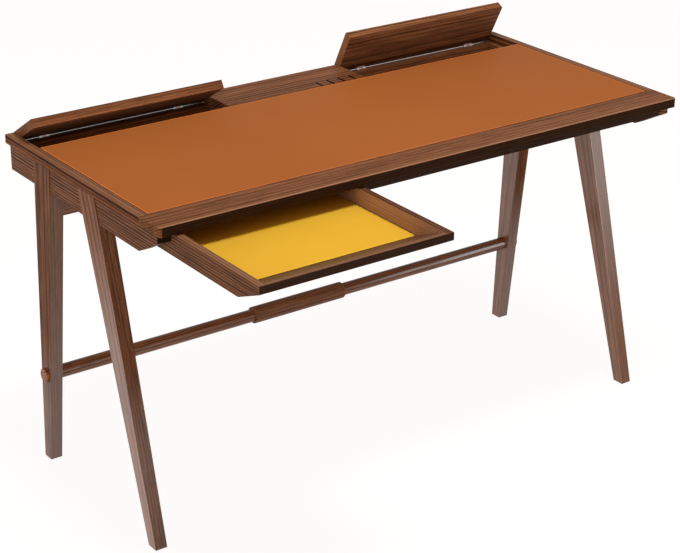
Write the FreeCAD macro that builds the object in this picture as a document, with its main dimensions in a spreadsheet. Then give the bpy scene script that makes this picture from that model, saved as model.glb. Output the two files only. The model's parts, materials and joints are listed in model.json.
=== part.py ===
"""Walnut writing desk with a leather top, two lift-up lids at the back and two shallow drawers.

Millimetres, +Z up, +Y to the back, +X to the sitter's right.  The origin is on the floor under
the middle of the whole desk as it stands here: left drawer pulled out, left lid part open and
right lid further open.
"""
import FreeCAD, Part
import math
import os
import re

import Sketcher

# Driving sizes, in millimetres and degrees.
SIZES = {
    # the top seen from above
    "desk_width": 1350,
    "desk_depth": 650,
    "desk_height": 750,
    "top_thickness": 20.5,
    "front_rail_width": 76.4,
    "side_rail_width": 19.6,
    "lid_zone_depth": 117.8,
    "corner_radius": 10,
    "edge_radius": 1.2,
    "leather_thickness": 2,
    "leather_joint": 0.8,
    # the fixed panel between the lids, with its cable slots
    "centre_panel_width": 375,
    "centre_panel_shift": 2.8,
    "slot_width": 5,
    "slot_length": 27.5,
    "slot_pitch": 31,
    "slot_end": 26.5,
    "slot_count": 4,
    # the shallow case under the top
    "apron_inset": 7,
    "apron_thickness": 28,
    "apron_depth": 58.5,
    "apron_tip": 19.5,
    "front_inset": 20,
    "rear_inset": 7,
    "rear_apron_thickness": 20,
    "chamfer_run": 73,
    "bottom_thickness": 4,
    "bottom_lift": 4,
    "wall_thickness": 18,
    "lid_ledge": 7,
    "partition_thickness": 18,
    "partition_spread": 370,
    "compartment_inset": 4,
    # the drawers and what they run on
    "drawer_outer_gap": 3,
    "drawer_inner_gap": 10,
    "drawer_top_gap": 3,
    "slide_clearance": 0.3,
    "fascia_gap": 2,
    "drawer_front_height": 16.6,
    "drawer_side_thickness": 15.5,
    "drawer_lip": 10,
    "drawer_back_thickness": 12,
    "floor_lift": 4,
    "floor_thickness": 6,
    "lining_thickness": 1.5,
    "lining_joint": 0.8,
    "drawer_hold": 137.2,
    "left_drawer_short": 44,
    "stop_thickness": 13.7,
    "stop_width": 30,
    "stop_height": 24,
    "catch_width": 40,
    "catch_length": 20,
    "catch_drop": 10,
    "guide_height": 12,
    "kicker_width": 22,
    # the lids and their rod hinges
    "lid_joint": 0.8,
    "lid_clearance": 0.5,
    "left_lid_angle": 31.5,
    "right_lid_angle": 62.5,
    "hinge_setback": 5.5,
    "rod_radius": 2.5,
    "rod_play": 0.05,
    "rod_groove_gap": 0.6,
    "knuckle_radius": 4.5,
    "knuckle_width": 8.4,
    "knuckle_gap": 0.4,
    "hinge_play": 0.5,
    "hinge_inset": 67,
    "leaf_thickness": 2,
    "leaf_reach": 13,
    # the legs
    "foot_width": 29.7,
    "foot_thickness": 27.6,
    "leg_thickness": 34,
    "front_leg_width": 70.5,
    "rear_leg_width": 72,
    "front_foot_setback": 76.2,
    "front_leg_setback": 268.5,
    "rear_foot_setback": 75.7,
    "rear_leg_setback": 118.6,
    "leg_housing": 15,
    "leg_proud": 1.5,
    "leg_reveal": 1.2,
    "leg_edge_radius": 1,
    "glide_radius": 9,
    "glide_thickness": 2.5,
    # the rails between the legs
    "cross_rail_height": 67,
    "cross_rail_thickness": 20,
    "stretcher_height": 217.7,
    "stretcher_radius": 15.3,
    "tenon_radius": 9,
    "tenon_play": 0.05,
    "sleeve_length": 257,
    "sleeve_wall": 4.7,
    "sleeve_chamfer": 1.2,
    "sleeve_play": 0.1,
    "knob_radius": 16.5,
    "knob_thickness": 6.5,
    "knob_chamfer": 1.2,
}

# Lengths worked out from the driving sizes.
UNDER_TOP = "(desk_height - top_thickness)"
CASE_BOTTOM = f"({UNDER_TOP} - apron_depth)"
CASE_FLOOR = f"({CASE_BOTTOM} + bottom_lift + bottom_thickness)"
FRONT = "(-desk_depth / 2 + front_inset)"
CHAMFER_END = f"({FRONT} + chamfer_run)"
LID_FRONT = "(desk_depth / 2 - lid_zone_depth)"
WALL_FRONT = f"({LID_FRONT} + lid_ledge - wall_thickness)"
WALL_BACK = f"({LID_FRONT} + lid_ledge)"
APRON_OUTER = "(desk_width / 2 - apron_inset)"
APRON_INNER = f"({APRON_OUTER} - apron_thickness)"
REAR_FACE = "(desk_depth / 2 - rear_inset)"
REAR_INNER = f"({REAR_FACE} - rear_apron_thickness)"
PARTITION_FACE = "(partition_spread / 2)"

LID_DEPTH = "(lid_zone_depth - lid_joint)"
LID_THICKNESS = "(top_thickness - lid_clearance)"
HINGE_Y = "(desk_depth / 2 - hinge_setback)"
HINGE_NOTCH = "(knuckle_radius + hinge_play)"
LEAF_WIDTH = "(3 * knuckle_width + 2 * knuckle_gap)"

DRAWER_WIDTH = f"({APRON_INNER} - {PARTITION_FACE} - drawer_outer_gap - drawer_inner_gap)"
DRAWER_HEIGHT = f"({UNDER_TOP} - {CASE_FLOOR} - drawer_top_gap - slide_clearance)"
DRAWER_LENGTH = f"({WALL_FRONT} - {FRONT} - stop_thickness - slide_clearance)"
FLOOR_TOP = "(floor_lift + floor_thickness + lining_thickness)"
DRAWER_RISE = f"({DRAWER_HEIGHT} - drawer_front_height)"
LINING_FRONT = f"(drawer_lip + ({DRAWER_HEIGHT} - {FLOOR_TOP}) * chamfer_run / {DRAWER_RISE})"
BACK_INNER = f"({DRAWER_LENGTH} - drawer_back_thickness)"
# a drawer runs out until drawer_hold of it is left in the case; the left one stands a little short
DRAWER_TRAVEL = f"({DRAWER_LENGTH} - drawer_hold)"
LEFT_DRAWER_OPEN = f"({DRAWER_TRAVEL} - left_drawer_short)"

# The desk's own middle lies this far behind the origin, which centres the opened desk on it.
REACH_FRONT = f"({LEFT_DRAWER_OPEN} - {FRONT})"
REACH_BACK = (
    f"({HINGE_Y} + hinge_setback * cos(right_lid_angle) + top_thickness * sin(right_lid_angle))"
)
MIDDLE = f"(({REACH_FRONT} - {REACH_BACK}) / 2)"

SIDES = {"left": -1, "right": 1}


def lid_length(side):
    """The centre panel sits a little to the right, so the left lid is the longer one."""
    half_top = "desk_width / 2 - side_rail_width - centre_panel_width / 2 - 2 * lid_joint"
    return f"({half_top} - {side} * centre_panel_shift)"


def lid_centre(side):
    reach = f"(centre_panel_width / 2 + lid_joint + {lid_length(side)} / 2)"
    return f"({side} * {reach} + centre_panel_shift)"


def hinge_offset(side):
    """Distance of each hinge from the middle of its lid."""
    return f"({lid_length(side)} / 2 - hinge_inset)"


doc = FreeCAD.newDocument("desk")
sheet = doc.addObject("Spreadsheet::Sheet", "Sizes")
for row, (alias, size) in enumerate(SIZES.items(), start=1):
    sheet.set(f"A{row}", alias)
    sheet.set(f"B{row}", str(size))
    sheet.setAlias(f"B{row}", alias)
doc.recompute()

ALIAS = re.compile(r"\b(" + "|".join(SIZES) + r")\b")
subparts = []


def bind(obj, prop, formula):
    """Tie a property to a formula on the driving sizes."""
    obj.setExpression(prop, ALIAS.sub(r"Sizes.\1", formula))


def place(obj, x, y, z):
    """Set an object's place: y is counted from the desk's own middle."""
    bind(obj, "Placement.Base.x", x)
    bind(obj, "Placement.Base.y", f"{MIDDLE} + {y}")
    bind(obj, "Placement.Base.z", z)


def subpart(obj, name):
    """Name an object as one of the desk's pieces."""
    obj.Label = name
    subparts.append(obj)
    return obj


def new_body(name, x, y, z):
    body = doc.addObject("PartDesign::Body", f"Body_{name}")
    place(body, x, y, z)
    return subpart(body, name)


def new_sketch(body, name, plane, lift=None):
    """An empty sketch on one of the body's own planes, lifted along the plane's normal."""
    sketch = body.newObject("Sketcher::SketchObject", f"{name}_{body.Label}")
    support = next(f for f in body.Origin.OriginFeatures if f.Role == plane)
    sketch.AttachmentSupport = [(support, "")]
    sketch.MapMode = "FlatFace"
    if lift:
        bind(sketch, "AttachmentOffset.Base.z", lift)
    return sketch


def draw_loop(sketch, points):
    """A closed run of straight lines through points given as pairs of formulas."""
    first = sketch.GeometryCount
    count = len(points)
    start = []
    for i in range(count):
        turn = 2 * math.pi * i / count
        start.append(FreeCAD.Vector(10 * math.cos(turn), 10 * math.sin(turn), 0))
    for i in range(count):
        sketch.addGeometry(Part.LineSegment(start[i], start[(i + 1) % count]), False)
    for i in range(count):
        after = first + (i + 1) % count
        sketch.addConstraint(Sketcher.Constraint("Coincident", first + i, 2, after, 1))
    for i, (across, up) in enumerate(points):
        for kind, formula, value in (("DistanceX", across, start[i].x), ("DistanceY", up, start[i].y)):
            index = sketch.addConstraint(Sketcher.Constraint(kind, -1, 1, first + i, 1, value))
            bind(sketch, f"Constraints[{index}]", formula)


def draw_circle(sketch, across, up, radius):
    """A circle with its centre and radius given as formulas."""
    circle = Part.Circle(FreeCAD.Vector(1, 1, 0), FreeCAD.Vector(0, 0, 1), 1)
    number = sketch.addGeometry(circle, False)
    for kind, formula in (("DistanceX", across), ("DistanceY", up)):
        index = sketch.addConstraint(Sketcher.Constraint(kind, -1, 1, number, 3, 1))
        bind(sketch, f"Constraints[{index}]", formula)
    index = sketch.addConstraint(Sketcher.Constraint("Radius", number, 1))
    bind(sketch, f"Constraints[{index}]", radius)


def rectangle(x0, y0, x1, y1):
    return [(x0, y0), (x1, y0), (x1, y1), (x0, y1)]


def pad(body, sketch, length, reverse=False, both_ways=False):
    feature = body.newObject("PartDesign::Pad", f"Pad_{sketch.Name}")
    feature.Profile = sketch
    feature.Reversed = reverse
    feature.Midplane = both_ways
    bind(feature, "Length", length)
    return feature


def pocket(body, sketch, depth=None, reverse=False, both_ways=False):
    """Cut a sketch out of the body: to a depth, or right through when none is given."""
    feature = body.newObject("PartDesign::Pocket", f"Cut_{sketch.Name}")
    feature.Profile = sketch
    feature.Reversed = reverse
    feature.Midplane = both_ways
    if depth is None:
        feature.Type = "ThroughAll"
    else:
        bind(feature, "Length", depth)
    return feature


def dress_edges(body, kind, prop, size, wanted):
    """Dress the edges of the body's last feature whose bounding box passes the test."""
    doc.recompute()
    base = body.Tip
    box = base.Shape.BoundBox
    names = []
    for number, edge in enumerate(base.Shape.Edges, start=1):
        if wanted(edge.BoundBox, box):
            names.append(f"Edge{number}")
    feature = body.newObject(f"PartDesign::{kind}", f"{kind}_{base.Name}")
    feature.Base = (base, names)
    bind(feature, prop, size)
    doc.recompute()
    return feature


def round_edges(body, radius, wanted):
    return dress_edges(body, "Fillet", "Radius", radius, wanted)


def chamfer_edges(body, size, wanted):
    return dress_edges(body, "Chamfer", "Size", size, wanted)


def near(a, b):
    return abs(a - b) < 1e-4


def flat_at(edge, level):
    """True for an edge that lies in the horizontal plane at this level."""
    return near(edge.ZMin, level) and near(edge.ZMax, level)


def board(name, x, y, z, length, width, height):
    """A plain rectangular board with its low corner at x, y, z."""
    box = doc.addObject("Part::Box", f"Box_{name}")
    bind(box, "Length", length)
    bind(box, "Width", width)
    bind(box, "Height", height)
    place(box, x, y, z)
    return box


def group(name, pieces):
    """Like pieces that share one node."""
    compound = doc.addObject("Part::Compound", f"Group_{name}")
    compound.Links = pieces
    return subpart(compound, name)


def low_corner(side, inner, width):
    """The low X of a piece that reaches from the plane at inner outwards by width."""
    return f"{inner}" if side > 0 else f"-({inner} + {width})"


# Rails of the top: one wide rail along the front, with round corners, and a narrow one each side.
def make_front_rail():
    body = new_body("top_front_rail", "0", "-desk_depth / 2", UNDER_TOP)
    sketch = new_sketch(body, "plan", "XY_Plane")
    draw_loop(sketch, rectangle("-desk_width / 2", "0", "desk_width / 2", "front_rail_width"))
    pad(body, sketch, "top_thickness")
    round_edges(body, "corner_radius", lambda e, b: e.ZLength > 1 and near(e.YMax, b.YMin))
    round_edges(
        body,
        "edge_radius",
        lambda e, b: (flat_at(e, b.ZMax) or flat_at(e, b.ZMin)) and e.YMin < b.YMax - 1e-4,
    )


def make_side_rail(word, side):
    body = new_body(
        f"top_{word}_rail", f"{side} * desk_width / 2", "-desk_depth / 2 + front_rail_width", UNDER_TOP
    )
    sketch = new_sketch(body, "plan", "XY_Plane")
    length = "desk_depth - front_rail_width"
    draw_loop(sketch, rectangle("0", "0", f"{-side} * side_rail_width", length))
    pad(body, sketch, "top_thickness")

    def outer_or_back(edge, box):
        outer = box.XMax if side > 0 else box.XMin
        along = near(edge.XMin, outer) and near(edge.XMax, outer) and edge.YLength > 1
        back = near(edge.YMin, box.YMax) and flat_at(edge, box.ZMax)
        return along or back

    round_edges(body, "edge_radius", outer_or_back)


# The writing surface: a flat board between the rails, with a sheet of leather let in flush.
def make_writing_surface():
    width = "desk_width - 2 * side_rail_width"
    depth = f"{LID_FRONT} + desk_depth / 2 - front_rail_width"
    low_x = "-desk_width / 2 + side_rail_width"
    low_y = "-desk_depth / 2 + front_rail_width"
    thickness = "top_thickness - leather_thickness"
    subpart(board("panel", low_x, low_y, UNDER_TOP, width, depth, thickness), "writing_panel")
    leather = board(
        "leather",
        f"{low_x} + leather_joint",
        f"{low_y} + leather_joint",
        "desk_height - leather_thickness",
        f"{width} - 2 * leather_joint",
        f"{depth} - 2 * leather_joint",
        "leather_thickness",
    )
    subpart(leather, "leather_inlay")


# The fixed panel between the lids: short slots from its front edge let cables through.
def make_centre_panel():
    body = new_body("centre_panel", "centre_panel_shift", LID_FRONT, UNDER_TOP)
    half = "centre_panel_width / 2"
    sketch = new_sketch(body, "plan", "XY_Plane")
    draw_loop(sketch, rectangle(f"-{half}", "lid_joint", half, "lid_zone_depth"))
    pad(body, sketch, "top_thickness")
    round_edges(
        body, "edge_radius", lambda e, b: flat_at(e, b.ZMax) and near(e.YMin, b.YMax)
    )
    slot = new_sketch(body, "slot", "XY_Plane")
    right = f"{half} - slot_end + slot_width / 2"
    draw_loop(slot, rectangle(f"{right} - slot_width", "-lid_joint", right, "slot_length"))
    cut = pocket(body, slot, both_ways=True)
    row = body.newObject("PartDesign::LinearPattern", "slot_row")
    row.Originals = [cut]
    row.Direction = (slot, ["H_Axis"])
    row.Reversed = True
    bind(row, "Length", "slot_pitch * (slot_count - 1)")
    bind(row, "Occurrences", "slot_count")
    body.Tip = row


# Edges of a leg, as Y from the desk's middle at a height above the floor.
def leg_edge(which, edge, height):
    if which == "front":
        foot = "(front_foot_setback - desk_depth / 2)"
        head = "(front_leg_setback - desk_depth / 2)"
        foot_end, head_end = f"{foot} + foot_width", f"{head} + front_leg_width"
    else:
        foot_end = "desk_depth / 2 - rear_foot_setback"
        head_end = "desk_depth / 2 - rear_leg_setback"
        foot, head = f"{foot_end} - foot_width", f"{head_end} - rear_leg_width"
    low, high = (foot, head) if edge == "front" else (foot_end, head_end)
    return f"(({low}) + (({high}) - ({low})) * ({height}) / {UNDER_TOP})"


def leg_middle(which, height):
    return f"(({leg_edge(which, 'front', height)} + {leg_edge(which, 'back', height)}) / 2)"


def leg_depth(height):
    """Thickness of a leg from its outer face, at a height above the floor."""
    return f"(foot_thickness + (leg_thickness - foot_thickness) * ({height}) / {UNDER_TOP})"


# Side aprons: boards with the front foot cut back underneath, housed outside for two legs each.
def make_side_apron(word, side):
    body = new_body(f"{word}_side_apron", f"{side} * {APRON_OUTER}", "0", "0")
    profile = new_sketch(body, "profile", "YZ_Plane")
    draw_loop(
        profile,
        [
            (FRONT, UNDER_TOP),
            (FRONT, f"{UNDER_TOP} - apron_tip"),
            (CHAMFER_END, CASE_BOTTOM),
            (REAR_FACE, CASE_BOTTOM),
            (REAR_FACE, UNDER_TOP),
        ],
    )
    pad(body, profile, "apron_thickness", reverse=side > 0)
    housing = new_sketch(body, "housing", "YZ_Plane")
    for which in ("front", "rear"):
        low, high = CASE_BOTTOM, UNDER_TOP
        draw_loop(
            housing,
            [
                (f"{leg_edge(which, 'front', low)} - leg_reveal", low),
                (f"{leg_edge(which, 'back', low)} + leg_reveal", low),
                (f"{leg_edge(which, 'back', high)} + leg_reveal", high),
                (f"{leg_edge(which, 'front', high)} - leg_reveal", high),
            ],
        )
    pocket(body, housing, "leg_housing", reverse=side < 0)
    # the rear apron's cove for the hinge rod runs on in here, as far as the side rail
    cove = new_sketch(body, "cove", "YZ_Plane", f"{-side} * apron_thickness")
    draw_circle(cove, HINGE_Y, UNDER_TOP, "rod_radius + rod_groove_gap")
    pocket(body, cove, f"desk_width / 2 - side_rail_width - {APRON_INNER}", reverse=side > 0)


# Legs: tapered both ways, with half their thickness cut away above the shoulder to fit the apron.
def make_leg(word, side, which):
    body = new_body(f"{word}_{which}_leg", f"{side} * ({APRON_OUTER} + leg_proud)", "0", "0")
    profile = new_sketch(body, "profile", "YZ_Plane")
    foot = "glide_thickness"
    draw_loop(
        profile,
        [
            (leg_edge(which, "front", foot), foot),
            (leg_edge(which, "back", foot), foot),
            (leg_edge(which, "back", UNDER_TOP), UNDER_TOP),
            (leg_edge(which, "front", UNDER_TOP), UNDER_TOP),
        ],
    )
    pad(body, profile, "leg_thickness", reverse=side > 0)
    waste = new_sketch(body, "waste", "XZ_Plane")
    inward = -side
    tongue = f"{inward} * (leg_proud + leg_housing)"
    beyond = f"{inward} * 2 * leg_thickness"
    draw_loop(
        waste,
        [
            (f"{inward} * foot_thickness", "0"),
            (f"{inward} * {leg_depth(CASE_BOTTOM)}", CASE_BOTTOM),
            (tongue, CASE_BOTTOM),
            (tongue, "desk_height"),
            (beyond, "desk_height"),
            (beyond, "0"),
        ],
    )
    pocket(body, waste, both_ways=True)
    round_edges(body, "leg_edge_radius", lambda e, b: e.ZLength > b.ZLength / 2)
    if which == "rear":
        hole = new_sketch(body, "hole", "YZ_Plane")
        middle = leg_middle("rear", "stretcher_height")
        draw_circle(hole, middle, "stretcher_height", "tenon_radius + tenon_play")
        pocket(body, hole, both_ways=True)


def make_glides():
    glides = []
    for word, side in SIDES.items():
        for which in ("front", "rear"):
            glide = doc.addObject("Part::Cylinder", f"Glide_{word}_{which}")
            bind(glide, "Radius", "glide_radius")
            bind(glide, "Height", "glide_thickness")
            outer = f"({APRON_OUTER} + leg_proud - foot_thickness / 2)"
            place(glide, f"{side} * {outer}", leg_middle(which, "glide_thickness"), "0")
            glides.append(glide)
    group("foot_glides", glides)


# Rails between the rear legs: a flat one under the case and a round one with a foot-rest sleeve.
def make_cross_rail():
    half = f"({APRON_OUTER} + leg_proud - {leg_depth(CASE_BOTTOM)})"
    rail = board(
        "cross_rail",
        f"-{half}",
        f"{leg_middle('rear', CASE_BOTTOM)} - cross_rail_thickness / 2",
        f"{CASE_BOTTOM} - cross_rail_height",
        f"2 * {half}",
        "cross_rail_thickness",
        "cross_rail_height",
    )
    subpart(rail, "rear_cross_rail")


def make_stretcher():
    axis_y = leg_middle("rear", "stretcher_height")
    leg_face = f"({APRON_OUTER} + leg_proud)"
    shoulder = f"({leg_face} - {leg_depth('stretcher_height + stretcher_radius')})"

    rod = new_body("stretcher_rod", "0", axis_y, "stretcher_height")
    barrel = new_sketch(rod, "barrel", "YZ_Plane")
    draw_circle(barrel, "0", "0", "stretcher_radius")
    pad(rod, barrel, f"2 * {shoulder}", both_ways=True)
    tenon = new_sketch(rod, "tenon", "YZ_Plane")
    draw_circle(tenon, "0", "0", "tenon_radius")
    pad(rod, tenon, f"2 * {leg_face}", both_ways=True)

    sleeve = new_body("stretcher_sleeve", "0", axis_y, "stretcher_height")
    ring = new_sketch(sleeve, "ring", "YZ_Plane")
    draw_circle(ring, "0", "0", "stretcher_radius + sleeve_play + sleeve_wall")
    draw_circle(ring, "0", "0", "stretcher_radius + sleeve_play")
    pad(sleeve, ring, "sleeve_length", both_ways=True)
    chamfer_edges(
        sleeve,
        "sleeve_chamfer",
        lambda e, b: e.XLength < 1e-4 and near(e.ZLength, b.ZLength),
    )

    for word, side in SIDES.items():
        knob = new_body(f"stretcher_{word}_knob", f"{side} * {leg_face}", axis_y, "stretcher_height")
        disc = new_sketch(knob, "disc", "YZ_Plane")
        draw_circle(disc, "0", "0", "knob_radius")
        pad(knob, disc, "knob_thickness", reverse=side < 0)

        def outer_rim(edge, box, side=side):
            outer = box.XMax if side > 0 else box.XMin
            return near(edge.XMin, outer) and near(edge.XMax, outer)

        chamfer_edges(knob, "knob_chamfer", outer_rim)


# The case: rear apron, bottom, the wall in front of the rear compartments, and the partitions.
def make_rear_apron():
    body = new_body("rear_apron", "0", HINGE_Y, UNDER_TOP)
    outside = f"({REAR_FACE} - {HINGE_Y})"
    inside = f"({REAR_INNER} - {HINGE_Y})"
    profile = new_sketch(body, "profile", "YZ_Plane")
    draw_loop(profile, rectangle(inside, "-apron_depth", outside, "0"))
    pad(body, profile, f"2 * {APRON_INNER}", both_ways=True)
    cove = new_sketch(body, "cove", "YZ_Plane")
    draw_circle(cove, "0", "0", "rod_radius + rod_groove_gap")
    pocket(body, cove, both_ways=True)
    width = f"({LEAF_WIDTH} + 2 * hinge_play)"
    knuckles = new_sketch(body, "knuckles", "XZ_Plane", HINGE_NOTCH)
    kerfs = new_sketch(body, "kerfs", "XZ_Plane", f"{HINGE_NOTCH} + leaf_thickness")
    for side in SIDES.values():
        for end in (-1, 1):
            middle = f"({lid_centre(side)} + {end} * {hinge_offset(side)})"
            low, high = f"{middle} - {width} / 2", f"{middle} + {width} / 2"
            draw_loop(knuckles, rectangle(low, f"-{HINGE_NOTCH}", high, "hinge_play"))
            draw_loop(kerfs, rectangle(low, "-leaf_reach", high, "hinge_play"))
    pocket(body, knuckles)
    pocket(body, kerfs, "leaf_thickness")


def make_case():
    inner_width = f"2 * {APRON_INNER}"
    bottom = board(
        "bottom",
        f"-{APRON_INNER}",
        CHAMFER_END,
        f"{CASE_BOTTOM} + bottom_lift",
        inner_width,
        f"{REAR_INNER} - {CHAMFER_END}",
        "bottom_thickness",
    )
    subpart(bottom, "bottom_panel")
    height = f"{UNDER_TOP} - {CASE_FLOOR}"
    wall = board(
        "wall", f"-{APRON_INNER}", WALL_FRONT, CASE_FLOOR, inner_width, "wall_thickness", height
    )
    subpart(wall, "compartment_wall")
    end_face = "(centre_panel_width / 2 - compartment_inset)"
    for word, side in SIDES.items():
        for name, face, shift, start, stop in (
            ("partition", PARTITION_FACE, "0", CHAMFER_END, WALL_FRONT),
            ("compartment_end", end_face, "centre_panel_shift", WALL_BACK, REAR_INNER),
        ):
            low = low_corner(side, f"({face} - partition_thickness)", "partition_thickness")
            piece = board(
                f"{word}_{name}",
                f"{low} + {shift}",
                start,
                CASE_FLOOR,
                "partition_thickness",
                f"{stop} - {start}",
                height,
            )
            subpart(piece, f"{word}_{name}")

    # the short fixed front between the drawers, undercut like them
    half = f"({PARTITION_FACE} + drawer_inner_gap - fascia_gap)"
    fascia = new_body("centre_fascia", "0", "0", "0")
    profile = new_sketch(fascia, "profile", "YZ_Plane")
    draw_loop(
        profile,
        [
            (FRONT, UNDER_TOP),
            (FRONT, f"{UNDER_TOP} - drawer_top_gap - drawer_front_height"),
            (CHAMFER_END, CASE_FLOOR),
            (CHAMFER_END, UNDER_TOP),
        ],
    )
    pad(fascia, profile, f"2 * {half}", both_ways=True)


# What each drawer runs against: side guides, kickers above, stops behind and a catch in front.
def make_bay(word, side):
    length = f"{WALL_FRONT} - {CHAMFER_END}"
    outer_guide = "(drawer_outer_gap - slide_clearance)"
    inner_guide = "(drawer_inner_gap - slide_clearance)"
    guides = []
    kickers = []
    spots = (
        ("outer", f"({APRON_INNER} - {outer_guide})", outer_guide, f"({APRON_INNER} - kicker_width)"),
        ("inner", PARTITION_FACE, inner_guide, PARTITION_FACE),
    )
    for where, guide_from, guide_width, kicker_from in spots:
        low = low_corner(side, guide_from, guide_width)
        name = f"{word}_{where}_guide"
        guides.append(board(name, low, CHAMFER_END, CASE_FLOOR, guide_width, length, "guide_height"))
        low = low_corner(side, kicker_from, "kicker_width")
        thickness = "(drawer_top_gap - slide_clearance)"
        name = f"{word}_{where}_kicker"
        start = f"{UNDER_TOP} - {thickness}"
        kickers.append(board(name, low, CHAMFER_END, start, "kicker_width", length, thickness))
    group(f"{word}_drawer_guides", guides)
    group(f"{word}_drawer_kickers", kickers)

    stops = []
    middle = f"({PARTITION_FACE} + drawer_inner_gap + {DRAWER_WIDTH} / 2)"
    for end in (-1, 1):
        low = f"{side} * {middle} + {end} * {DRAWER_WIDTH} / 3 - stop_width / 2"
        start = f"{WALL_FRONT} - stop_thickness"
        name = f"{word}_stop_{end + 1}"
        stops.append(
            board(name, low, start, CASE_FLOOR, "stop_width", "stop_thickness", "stop_height")
        )
    group(f"{word}_drawer_stops", stops)

    reached = f"({FRONT} - {DRAWER_TRAVEL} + {BACK_INNER} - slide_clearance)"
    catch = board(
        f"{word}_catch",
        f"{side} * {middle} - catch_width / 2",
        f"{reached} - catch_length",
        f"{UNDER_TOP} - catch_drop",
        "catch_width",
        "catch_length",
        "catch_drop",
    )
    subpart(catch, f"{word}_drawer_catch")


# A drawer: sides that run through to the front, and a front that slopes down to the lined floor.
def make_drawer(word, side, opened):
    outer = f"({APRON_INNER} - drawer_outer_gap)"
    low_x = f"-{outer}" if side < 0 else f"({outer} - {DRAWER_WIDTH})"
    front = f"({FRONT} - {opened})"
    low_z = f"({CASE_FLOOR} + slide_clearance)"
    inside = f"({DRAWER_WIDTH} - 2 * drawer_side_thickness)"
    inside_x = f"({low_x} + drawer_side_thickness)"
    sides = (("left", low_x), ("right", f"({low_x} + {DRAWER_WIDTH} - drawer_side_thickness)"))
    for hand, x in sides:
        body = new_body(f"{word}_drawer_{hand}_side", x, front, low_z)
        profile = new_sketch(body, "profile", "YZ_Plane")
        draw_loop(
            profile,
            [
                ("0", DRAWER_HEIGHT),
                ("0", DRAWER_RISE),
                ("chamfer_run", "0"),
                (DRAWER_LENGTH, "0"),
                (DRAWER_LENGTH, DRAWER_HEIGHT),
            ],
        )
        pad(body, profile, "drawer_side_thickness")

    body = new_body(f"{word}_drawer_front", inside_x, front, low_z)
    profile = new_sketch(body, "profile", "YZ_Plane")
    draw_loop(
        profile,
        [
            ("0", DRAWER_HEIGHT),
            ("0", DRAWER_RISE),
            ("chamfer_run", "0"),
            (LINING_FRONT, "0"),
            (LINING_FRONT, FLOOR_TOP),
            ("drawer_lip", DRAWER_HEIGHT),
        ],
    )
    pad(body, profile, inside)

    back = board(
        f"{word}_back",
        inside_x,
        f"({front} + {BACK_INNER})",
        low_z,
        inside,
        "drawer_back_thickness",
        DRAWER_HEIGHT,
    )
    subpart(back, f"{word}_drawer_back")
    floor = board(
        f"{word}_floor",
        inside_x,
        f"({front} + {LINING_FRONT})",
        f"{low_z} + floor_lift",
        inside,
        f"{BACK_INNER} - {LINING_FRONT}",
        "floor_thickness",
    )
    subpart(floor, f"{word}_drawer_floor")
    lining = board(
        f"{word}_lining",
        f"{inside_x} + lining_joint",
        f"({front} + {LINING_FRONT} + lining_joint)",
        f"{low_z} + floor_lift + floor_thickness",
        f"{inside} - 2 * lining_joint",
        f"{BACK_INNER} - {LINING_FRONT} - 2 * lining_joint",
        "lining_thickness",
    )
    subpart(lining, f"{word}_drawer_lining")


def tilt(obj, angle):
    """Turn a lid's piece about its hinge, front edge upwards."""
    obj.Placement.Rotation = FreeCAD.Rotation(FreeCAD.Vector(-1, 0, 0), 1)
    bind(obj, "Placement.Rotation.Angle", angle)


# Lids: boards grooved underneath for the hinge rod, with a notch and a kerf at each hinge.
def make_lid(word, side, angle):
    body = new_body(f"{word}_lid", lid_centre(side), HINGE_Y, UNDER_TOP)
    tilt(body, angle)
    plan = new_sketch(body, "plan", "XY_Plane", "lid_clearance")
    half = f"{lid_length(side)} / 2"
    draw_loop(
        plan, rectangle(f"-{half}", f"hinge_setback - {LID_DEPTH}", half, "hinge_setback")
    )
    pad(body, plan, LID_THICKNESS)
    round_edges(
        body, "edge_radius", lambda e, b: flat_at(e, b.ZMax) and not near(e.YLength, b.YLength)
    )
    groove = new_sketch(body, "groove", "YZ_Plane")
    draw_circle(groove, "0", "0", "rod_radius + rod_groove_gap")
    pocket(body, groove, both_ways=True)
    width = f"({LEAF_WIDTH} + 2 * hinge_play)"
    knuckles = new_sketch(body, "knuckles", "XZ_Plane", HINGE_NOTCH)
    kerfs = new_sketch(body, "kerfs", "XZ_Plane", f"{HINGE_NOTCH} + leaf_thickness")
    for end in (-1, 1):
        low = f"{end} * {hinge_offset(side)} - {width} / 2"
        high = f"{end} * {hinge_offset(side)} + {width} / 2"
        draw_loop(knuckles, rectangle(low, "0", high, HINGE_NOTCH))
        draw_loop(kerfs, rectangle(low, "0", high, "lid_clearance + leaf_reach"))
    pocket(body, knuckles)
    pocket(body, kerfs, "leaf_thickness")


def lie_along_x(cylinder):
    cylinder.Placement.Rotation = FreeCAD.Rotation(FreeCAD.Vector(0, 1, 0), 90)


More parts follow.
